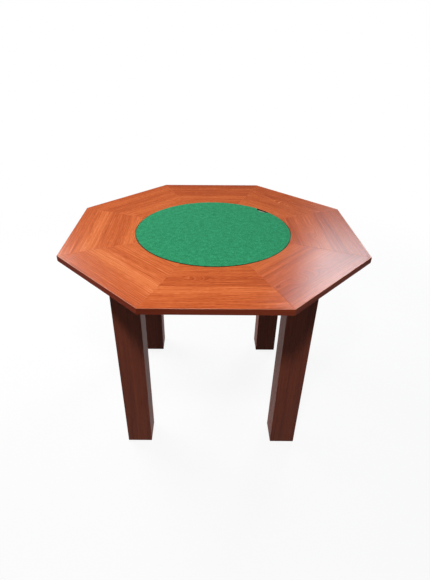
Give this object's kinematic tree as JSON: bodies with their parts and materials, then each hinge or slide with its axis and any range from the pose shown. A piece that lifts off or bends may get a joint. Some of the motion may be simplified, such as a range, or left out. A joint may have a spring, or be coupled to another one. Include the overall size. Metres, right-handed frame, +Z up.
{
  "type": "games table",
  "caption": "Octagonal games table with a mitred wood-look top, a round green felt playing disc that lifts out of a shallow well, and square legs.",
  "frame": {"origin": "on the floor, under the middle of the octagonal top", "axes": "+Z up; -Y towards the front, the side nearest the viewer; +X to the viewer's right"},
  "size_m": [1, 1, 0.75],
  "materials": {
    "top_laminate": "satin reddish-orange wood-look laminate",
    "edge_laminate": "satin dark reddish-brown wood-look edging",
    "leg_laminate": "satin dark-brown wood-look laminate",
    "melamine_board": "off-white faced chipboard",
    "disc_laminate": "satin wood-look laminate on the disc's reverse",
    "hardboard": "raw brown hardboard",
    "felt": "green pressed felt",
    "softwood": "planed pale softwood",
    "zinc_steel": "zinc-plated steel",
    "nylon": "black nylon"
  },
  "bodies": {
    "table": {"base_board": "melamine_board", "top_segment_front": "top_laminate", "top_segment_front_right": "top_laminate", "top_segment_right": "top_laminate", "top_segment_back_right": "top_laminate", "top_segment_back": "top_laminate", "top_segment_back_left": "top_laminate", "top_segment_left": "top_laminate", "top_segment_front_left": "top_laminate", "edge_band_front": "edge_laminate", "edge_band_front_right": "edge_laminate", "edge_band_right": "edge_laminate", "edge_band_back_right": "edge_laminate", "edge_band_back": "edge_laminate", "edge_band_back_left": "edge_laminate", "edge_band_left": "edge_laminate", "edge_band_front_left": "edge_laminate", "leg_back_right": "leg_laminate", "leg_back_left": "leg_laminate", "leg_front_left": "leg_laminate", "leg_front_right": "leg_laminate", "apron_back": "leg_laminate", "apron_left": "leg_laminate", "apron_front": "leg_laminate", "apron_right": "leg_laminate", "leg_top_block_back_right": "softwood", "leg_top_block_back_left": "softwood", "leg_top_block_front_left": "softwood", "leg_top_block_front_right": "softwood", "leg_foot_block_back_right": "softwood", "leg_foot_block_back_left": "softwood", "leg_foot_block_front_left": "softwood", "leg_foot_block_front_right": "softwood", "foot_glide_back_right": "nylon", "foot_glide_back_left": "nylon", "foot_glide_front_left": "nylon", "foot_glide_front_right": "nylon", "corner_bracket_back_right": "zinc_steel", "corner_bracket_back_left": "zinc_steel", "corner_bracket_front_left": "zinc_steel", "corner_bracket_front_right": "zinc_steel", "hanger_bolts": "zinc_steel", "hanger_washers": "zinc_steel", "hanger_nuts": "zinc_steel", "corner_bracket_screws": "zinc_steel", "angle_brackets": "zinc_steel", "angle_bracket_screws": "zinc_steel"},
    "disc": {"disc_backing": "disc_laminate", "disc_core": "hardboard", "disc_felt": "felt"}
  },
  "joints": [
    {"name": "disc_lift", "type": "slide", "parent": "table", "child": "disc", "axis": [0, 0, 1], "range_m": [0, 0.25]}
  ]
}
